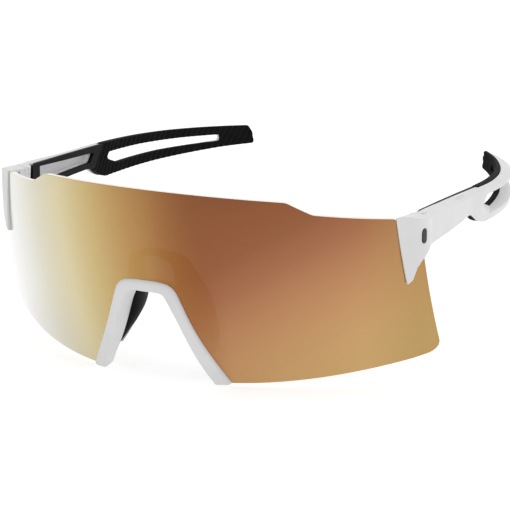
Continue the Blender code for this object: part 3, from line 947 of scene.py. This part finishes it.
def make_lug():
    slices = (spaced(64.5, 69.5, 0.8), spaced(-4.5, 15.0, 1.5))
    lug = solid("left_end_piece", rounded(CLAW), *CLAW_DEPTH, claw_place, slices)
    block = flat_solid("block", lug_plan(), 2.5, 24.0)
    edit(block, lambda mesh: [slice_up(mesh, (0, 0, z), (0, 0, 1)) for z in spaced(4.0, 20.0, 2.0)])
    combine(lug, "UNION", put(block, block_place))
    combine(lug, "INTERSECT", solid("side", rounded(LUG_SIDE), 50.0, 80.0, side_point))
    combine(lug, "DIFFERENCE", lug_top(), lens_pocket())
    tongue = [(-BARREL_RADIUS, -2.6), (BARREL_RADIUS, -2.6)]
    tongue += [p for p in circle(BARREL_RADIUS, count=48) if p.y > -0.01]
    combine(lug, "UNION", solid("tongue", tongue, -4.0, 4.0, hinge_point))
    clear = BARREL_RADIUS + BARREL_GAP
    combine(
        lug, "DIFFERENCE",
        pin("upper", clear, TONGUE_HALF, 9.0), pin("lower", clear, -9.0, -TONGUE_HALF),
        solid("recess", WALL_RECESS, 60.0, INNER_WALL + 0.8, side_point),
    )
    combine(
        lug, "DIFFERENCE",
        pin("pivot_hole", SCREW_RADIUS + HOLE_GAP, -9.0, 9.0),
        pin("set_hole", SET_SCREW_RADIUS + HOLE_GAP, 0.2, 9.0, set_screw_place, 28),
        solid("badge_room", badge_outline(0.08), -0.55, 5.0, badge_place),
    )
    return trim(melt(lug, LUG_VOXEL, 5))


# ---------------------------------------------------------------- temples

SHELL_INNER = (
    (SEAM_Y, 16.05, 0), (50.0, 15.75, 0), (57.0, 15.3, 0), (65.0, 14.85, 0), (72.0, 14.42, 0),
    (82.0, 13.85, 0), (88.0, 13.4, 0), (98.0, 12.55, 0), (114.0, 11.4, 0), (130.0, 10.4, 0),
    (146.0, 9.2, 0), (153.0, 8.6, 2.4), (154.6, 3.1, 1.6), (143.0, 3.0, 0), (124.0, 2.8, 0),
    (96.0, 2.3, 8.0), (87.4, 2.55, 3.0), (84.4, 3.75, 1.5), (80.6, 6.1, 1.5), (78.2, 7.0, 1.5),
    (75.0, 7.55, 2.5),
    (61.0, 7.5, 0), (SEAM_Y, 6.8, 0),
)
SHELL_OUTER = (
    (SEAM_Y, 15.35, 0), (50.0, 15.1, 0), (57.0, 14.55, 0), (65.0, 13.85, 0), (72.0, 13.15, 0),
    (82.0, 12.75, 0), (88.0, 12.3, 0), (98.0, 11.5, 0), (114.0, 10.5, 0), (130.0, 9.6, 0),
    (146.0, 8.5, 0), (152.4, 8.0, 2.2), (154.0, 3.5, 1.4), (143.0, 3.3, 0), (124.0, 3.1, 0),
    (96.0, 2.45, 8.0), (87.4, 2.7, 3.0), (84.6, 3.9, 1.5), (80.8, 6.25, 1.5), (78.4, 7.15, 1.5),
    (75.2, 7.65, 2.5),
    (61.0, 7.6, 0), (SEAM_Y, 6.9, 0),
)
SHELL_FRONT = (
    (43.4, 16.01, 0), (50.1, 15.70, 0), (57.1, 15.25, 0), (65.1, 14.8, 0), (72.1, 14.37, 0),
    (86.83, 13.38, 0.3), (80.93, 6.47, 0.5), (78.33, 7.17, 0), (75.2, 7.62, 2.5), (61.1, 7.57, 0),
    (43.4, 6.87, 0),
)
RECESS_MOUTH = (
    (48.5, 14.2, 0.3), (63.3, 12.95, 0), (80.9, 11.55, 0.5), (78.4, 9.2, 0.5), (67.4, 9.4, 0),
    (48.5, 9.5, 0.3),
)
RECESS_FLOOR = (
    (50.5, 13.8, 0.3), (63.3, 12.7, 0), (78.6, 11.4, 0.5), (76.4, 9.4, 0.5), (67.4, 9.6, 0),
    (50.5, 9.7, 0.3),
)
SLOT_INNER = (
    (90.0, 7.6, 0.9), (91.2, 9.9, 0.9), (107.0, 9.35, 0), (126.0, 8.3, 0), (142.4, 7.15, 0.7),
    (142.9, 4.8, 0.7), (130.0, 5.15, 0), (117.0, 5.4, 0), (96.3, 5.3, 1.0),
)
SLOT_OUTER = (
    (86.6, 8.1, 1.2), (89.4, 10.75, 1.4), (107.0, 10.0, 0), (126.0, 8.9, 0), (143.0, 7.6, 0.9),
    (143.6, 4.5, 0.9), (130.0, 4.1, 0), (117.0, 3.95, 0), (91.0, 4.25, 1.8),
)
GRIP_SLOT = (
    (89.7, 7.95, 0.8), (91.2, 9.95, 0.9), (107.4, 9.33, 0), (126.0, 8.3, 0), (142.3, 7.15, 0.9),
    (142.9, 4.85, 0.8), (130.3, 5.2, 0), (117.1, 5.45, 0), (96.2, 5.35, 1.0),
)
GRIP_SIDE = (
    (87.4, 13.6, 0.3), (90.0, 13.45, 0), (97.0, 13.0, 0), (107.6, 12.38, 0), (121.7, 11.5, 0),
    (134.6, 10.55, 0), (146.8, 9.58, 0), (153.6, 9.02, 1.1), (155.1, 6.8, 4.0), (155.75, 2.7, 0.9),
    (142.7, 2.8, 0), (130.3, 2.62, 0), (117.0, 2.5, 0), (97.0, 2.3, 6.0), (88.4, 2.4, 3.0),
    (84.7, 3.7, 2.0), (82.2, 5.6, 1.0), (81.75, 6.35, 0.2),
)
LINER_SIDE = (
    (44.1, 15.3, 0.3), (45.8, 15.4, 0), (46.6, 15.62, 0), (60.4, 14.98, 0), (72.5, 14.32, 0),
    (87.2, 13.42, 0.3), (81.5, 6.5, 0.3),
    (76.5, 7.2, 0), (64.2, 7.4, 0), (44.1, 6.95, 0.3),
)
LINER_WINDOW = (
    (48.4, 14.38, 0.25), (63.3, 13.1, 0), (81.2, 11.75, 0.35), (78.6, 8.95, 0.45),
    (67.4, 9.2, 0), (48.4, 9.3, 0.25),
)


LONGEST_STRETCH = 1.6


def subdivided(outline):
    """The same outline with its long stretches split, so that it can follow the bend."""
    points = []
    for index, here in enumerate(outline):
        after = outline[(index + 1) % len(outline)]
        count = max(math.ceil((after - here).length / LONGEST_STRETCH), 1)
        points += [here.lerp(after, step / count) for step in range(count)]
    return points


def matched(low_corners, high_corners, steps=8):
    """Two rounded outlines with point for point the same count."""
    low = rounded(low_corners, steps)
    high = rounded(high_corners, steps)
    first, second = [], []
    for index in range(len(low)):
        a, b = low[index - 1], low[index]
        c, d = high[index - 1], high[index]
        stretch = max((b - a).length, (d - c).length)
        count = max(math.ceil(stretch / LONGEST_STRETCH), 1)
        first += [a.lerp(b, step / count) for step in range(count)]
        second += [c.lerp(d, step / count) for step in range(count)]
    return first, second


def make_shell():
    shell = draft_solid("left_shell", *matched(SHELL_INNER, SHELL_OUTER), 0.12, SHELL_OUT)
    low, high = matched(SLOT_INNER, SLOT_OUTER)
    stretch = SHELL_OUT - 0.12
    far_low = [a + (a - b) / stretch * 0.5 for a, b in zip(low, high)]
    far_high = [b + (b - a) / stretch * 0.5 for a, b in zip(low, high)]
    combine(shell, "DIFFERENCE", draft_solid("slot", far_low, far_high, -0.38, SHELL_OUT + 0.5))
    soften(shell, 0.2, 3, 25.0)
    put(shell, temple_point, (spaced(44.5, 154.5, 1.6), spaced(4.0, 15.0, 2.0)))
    front = flat_solid("front_half", subdivided(rounded(SHELL_FRONT)), SHELL_IN, 0.4)
    soften(front, 0.15, 2, 40.0)
    put(front, temple_point, (spaced(46.0, 84.0, 4.0), ()))
    mouth, floor = matched(RECESS_MOUTH, RECESS_FLOOR, 4)
    recess = draft_solid("recess", mouth, floor, SHELL_IN - 0.3, RECESS_OUT)
    put(recess, temple_point, (spaced(50.0, 78.0, 4.0), ()))
    combine(shell, "UNION", front)
    combine(shell, "DIFFERENCE", recess)
    neck = ((PIVOT.x, PIVOT.y), (SKIN_X - 0.1, PIVOT.y), (SKIN_X - 0.1, 47.0), (PIVOT.x, 47.0))
    knuckle = solid("neck", neck, NECK_LOW, NECK_HIGH, plan_point)
    combine(knuckle, "UNION", pin("barrel", BARREL_RADIUS, NECK_LOW - PIVOT.z, NECK_HIGH - PIVOT.z))
    combine(knuckle, "DIFFERENCE", lug_top())
    combine(shell, "UNION", knuckle)
    slot = TONGUE_HALF + TONGUE_GAP
    combine(
        shell, "DIFFERENCE",
        pin("slot", BARREL_RADIUS + BARREL_GAP, -slot, slot),
        pin("shank_hole", SCREW_RADIUS + HOLE_GAP, -9.0, 0.0),
        pin("insert_hole", INSERT_RADIUS + 0.05, 0.0, 3.8),
        pin("head_hole", SCREW_HEAD_RADIUS + HOLE_GAP, -9.0, -3.9),
    )
    return shell


def make_liner():
    liner = flat_solid("left_liner", subdivided(rounded(LINER_SIDE)), LINER_IN, SHELL_IN - 0.08)
    combine(liner, "DIFFERENCE",
            flat_solid("window", subdivided(rounded(LINER_WINDOW)), LINER_IN - 1.0, 1.0))
    soften(liner, 0.14, 2, 40.0)
    put(liner, temple_point, (spaced(45.0, 84.0, 2.0), ()))
    neck = ((PIVOT.x - 0.1, 40.0), (80.0, 40.0), (80.0, 47.1), (PIVOT.x - 0.1, 47.1))
    combine(
        liner, "DIFFERENCE",
        solid("neck_room", neck, 0.0, 30.0, plan_point),
        pin("barrel_room", BARREL_RADIUS + BARREL_GAP, -9.0, 9.0),
    )
    return liner


RIB_RUN = Vector((0.56, 0.83, 0.0))
RIB_PITCH = 2.0
RIB_DEPTH = 0.42


def make_grip():
    grip = flat_solid("left_grip", subdivided(rounded(GRIP_SIDE)), LINER_IN, -0.05)
    combine(grip, "DIFFERENCE",
            flat_solid("slot", subdivided(rounded(GRIP_SLOT)), LINER_IN - 1.0, 1.0))
    soften(grip, 0.3, 3, 40.0)
    across = Vector((RIB_RUN.y, -RIB_RUN.x, 0.0)).normalized()
    first, last = across.dot((79.0, 14.0, 0.0)), across.dot((156.0, 2.0, 0.0))

    def change(mesh):
        for value in spaced(first, last, RIB_PITCH / 5):
            slice_up(mesh, across * value, across)
        for vert in mesh.verts:
            weight = clamp((-vert.co.z - 2.0) / 0.4)
            phase = across.dot(vert.co) / RIB_PITCH * math.tau
            depth = RIB_DEPTH / inside_share(vert.co.x)
            vert.co.z += weight * depth * (0.5 + 0.5 * math.cos(phase)) ** 1.5

    edit(grip, change)
    return put(grip, temple_point)


# ---------------------------------------------------------------- small fittings

BADGE_DEPTH = (-0.5, 0.06)
SET_SCREW_DEPTH = (0.5, 3.3)
SET_SCREW_SOCKET = (2.5, 4.0)
SHANK_LEVELS = (-4.3, 3.2)
HEAD_LEVELS = (-4.75, -4.2)
HEAD_SOCKET = (-5.5, -4.45)
INSERT_LEVELS = (2.3, 3.5)
SOCKET_SHARE = 0.5
CORE_HALF = 0.8
CORE_THICK = 0.25
CORE_DEPTH = 1.2


def make_badge():
    badge = flat_solid("left_badge", badge_outline(), *BADGE_DEPTH)
    return put(soften(badge, 0.08, 2), badge_place)


def driven(name, radius, levels, place, socket_levels, count=40):
    """Round head with softened edges and a six-sided socket."""
    head = soften(flat_solid(name, circle(radius, count=count), *levels), 0.09, 3)
    socket = flat_solid("socket", circle(radius * SOCKET_SHARE, count=6), *socket_levels)
    return put(combine(head, "DIFFERENCE", socket), place)


def make_lens_screw():
    return driven("left_lens_screw_head", SET_SCREW_RADIUS, SET_SCREW_DEPTH, set_screw_place,
                  SET_SCREW_SOCKET, 32)


def make_hinge_screw():
    screw = pin("left_hinge_screw_head", SCREW_RADIUS, *SHANK_LEVELS)
    head = driven("head", SCREW_HEAD_RADIUS, HEAD_LEVELS, hinge_point, HEAD_SOCKET)
    return combine(screw, "UNION", head)


def make_insert():
    insert = flat_solid("left_brass_insert", circle(INSERT_RADIUS), *INSERT_LEVELS)
    soften(insert, 0.08, 2)
    combine(insert, "DIFFERENCE", flat_solid("bore", circle(SCREW_RADIUS + HOLE_GAP), 0.0, 5.0))
    return put(insert, hinge_point)


def make_core():
    """Bendable strip inside the saddle, seen only where the pad is cut away."""
    sections = []
    for front, rear, inward in pad_frames(3):
        along = (rear - front).normalized() * CORE_HALF
        over = inward * CORE_THICK
        middle = (front + rear) / 2 + inward * CORE_DEPTH
        sections.append([middle - along - over, middle + along - over,
                         middle + along + over, middle - along + over])
    return shade(saddle_loft("saddle_core", sections), 40.0, False)


# ---------------------------------------------------------------- assembly


def settle(thing, body, node, material=None):
    if material:
        thing.data.materials.clear()
        thing.data.materials.append(material)
    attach(thing, body)
    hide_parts(node)
    return thing


def make_object():
    white, rubber, plastic = white_plastic(), black_rubber(), black_plastic()
    steel = metal("brushed_steel", (0.42, 0.42, 0.43), (0.6, 0.6, 0.61), 0.22, 0.36)
    brass = metal("turned_brass", (0.55, 0.38, 0.14), (0.78, 0.58, 0.27), 0.25, 0.4)
    ink = badge_ink()
    settle(make_lens(), "front", "lens_shield")
    settle(make_rim(), "front", "nose_rim", white)
    settle(make_pad(), "front", "nose_pad", rubber)
    settle(make_core(), "front", "nose_pad_core", steel)
    pieces = (
        (shade(make_lug()), "front", "lug", "frame_white", white),
        (shade(make_badge()), "front", "side_badge", "black_plastic", ink),
        (shade(make_lens_screw()), "front", "lens_screw", "steel", steel),
        (shade(make_hinge_screw()), "temple", "hinge_screw", "steel", steel),
        (shade(make_insert()), "temple", "hinge_insert", "brass", brass),
        (shade(make_shell()), "temple", "temple_shell", "frame_white", white),
        (shade(make_liner()), "temple", "temple_liner", "black_plastic", plastic),
        (shade(make_grip()), "temple", "temple_grip", "soft_rubber", rubber),
    )
    for thing, body, node, slot, material in pieces:
        other = shade(mirror_copy(thing, thing.name.replace("left", "right", 1)))
        for one, side in ((thing, "left"), (other, "right")):
            holder = body if body == "front" else f"{side}_temple"
            settle(one, holder, f"{side}_{node}", material)


# ---------------------------------------------------------------- stage

CAMERA_ANGLES = (27.0, 15.67, -0.23)
CAMERA_TARGET = Vector((4.6, 60.0, -8.6))
CAMERA_DISTANCE = 0.751
CAMERA_LENS = 174.49


def make_camera():
    camera = bpy.data.objects.new("camera", bpy.data.cameras.new("camera"))
    bpy.context.scene.collection.objects.link(camera)
    azimuth, elevation, roll = (math.radians(angle) for angle in CAMERA_ANGLES)
    right = Vector((math.cos(azimuth), math.sin(azimuth), 0.0))
    back = Vector((math.sin(azimuth) * math.cos(elevation),
                   -math.cos(azimuth) * math.cos(elevation), math.sin(elevation)))
    up = back.cross(right)
    target = (CAMERA_TARGET - CENTRE) * MM
    place = target + back * CAMERA_DISTANCE
    side = right * math.cos(roll) + up * math.sin(roll)
    top = up * math.cos(roll) - right * math.sin(roll)
    turn = Matrix((side, top, back)).transposed().to_4x4()
    camera.matrix_world = Matrix.Translation(place) @ turn
    camera.data.sensor_width = 36.0
    camera.data.lens = CAMERA_LENS
    camera.data.clip_start = 0.01
    bpy.context.scene.camera = camera


def make_floor():
    low = min(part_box(node)[0].z for node in frame["nodes"])
    mesh = bmesh.new()
    signs = ((-1, -1), (1, -1), (1, 1), (-1, 1))
    corners = [(a * FLOOR_REACH, b * FLOOR_REACH, low - FLOOR_GAP) for a, b in signs]
    mesh.faces.new([mesh.verts.new(corner) for corner in corners])
    data = bpy.data.meshes.new("floor")
    mesh.to_mesh(data)
    mesh.free()
    floor = bpy.data.objects.new("floor", data)
    bpy.context.scene.collection.objects.link(floor)
    n = Nodes("pale_floor")
    n.link(n.ramp(n.noise(3, 2), ((0.3, (0.50, 0.50, 0.50)), (0.7, (0.53, 0.53, 0.53)))),
           n.shader.inputs["Base Color"])
    n.set(Roughness=0.9, Specular_IOR_Level=0.0, Emission_Strength=0.62,
          Emission_Color=(1.0, 1.0, 1.0, 1.0))
    floor.data.materials.append(n.material)


def make_world():
    """White surround, a little dimmer in front of the object, and plain white where it is seen."""
    world = bpy.data.worlds.new("studio")
    bpy.context.scene.world = world
    world.use_nodes = True
    tree = world.node_tree
    shader = tree.nodes["Background"]

    def add(kind, **settings):
        node = tree.nodes.new(kind)
        for key, value in settings.items():
            setattr(node, key, value)
        return node

    split = add("ShaderNodeSeparateXYZ")
    tree.links.new(add("ShaderNodeTexCoord").outputs["Generated"], split.inputs["Vector"])
    depth = add("ShaderNodeMapRange", interpolation_type="SMOOTHSTEP")
    for key, value in (("From Min", -1.0), ("From Max", 0.5), ("To Min", FRONT_LIGHT),
                       ("To Max", BACK_LIGHT)):
        depth.inputs[key].default_value = value
    tree.links.new(split.outputs["Y"], depth.inputs["Value"])
    rise = add("ShaderNodeMapRange", interpolation_type="SMOOTHSTEP")
    for key, value in (("From Min", 0.1), ("From Max", 0.9), ("To Min", 0.0), ("To Max", TOP_LIGHT)):
        rise.inputs[key].default_value = value
    tree.links.new(split.outputs["Z"], rise.inputs["Value"])
    total = add("ShaderNodeMath", operation="ADD")
    tree.links.new(depth.outputs["Result"], total.inputs[0])
    tree.links.new(rise.outputs["Result"], total.inputs[1])
    seen = add("ShaderNodeMix", data_type="FLOAT")
    tree.links.new(add("ShaderNodeLightPath").outputs["Is Camera Ray"], seen.inputs[0])
    tree.links.new(total.outputs[0], seen.inputs[2])
    seen.inputs[3].default_value = SEEN_LIGHT
    tree.links.new(seen.outputs[0], shader.inputs["Strength"])
    shader.inputs["Color"].default_value = (1.0, 1.0, 1.0, 1.0)


def make_light():
    scene = bpy.context.scene
    scene.view_settings.view_transform = "Standard"
    make_world()
    lamps = (
        ("key", (0.15, -0.25, 0.95), 0.8, 1.1),
        ("fill", (1.0, -0.35, 0.35), 0.6, 0.25),
    )
    for name, place, size, power in lamps:
        lamp = bpy.data.objects.new(name, bpy.data.lights.new(name, "AREA"))
        scene.collection.objects.link(lamp)
        lamp.location = place
        lamp.rotation_euler = (-Vector(place)).to_track_quat("-Z", "Y").to_euler()
        lamp.data.shape = "DISK"
        lamp.data.size = size
        lamp.data.energy = power


make_object()
make_camera()
make_floor()
make_light()
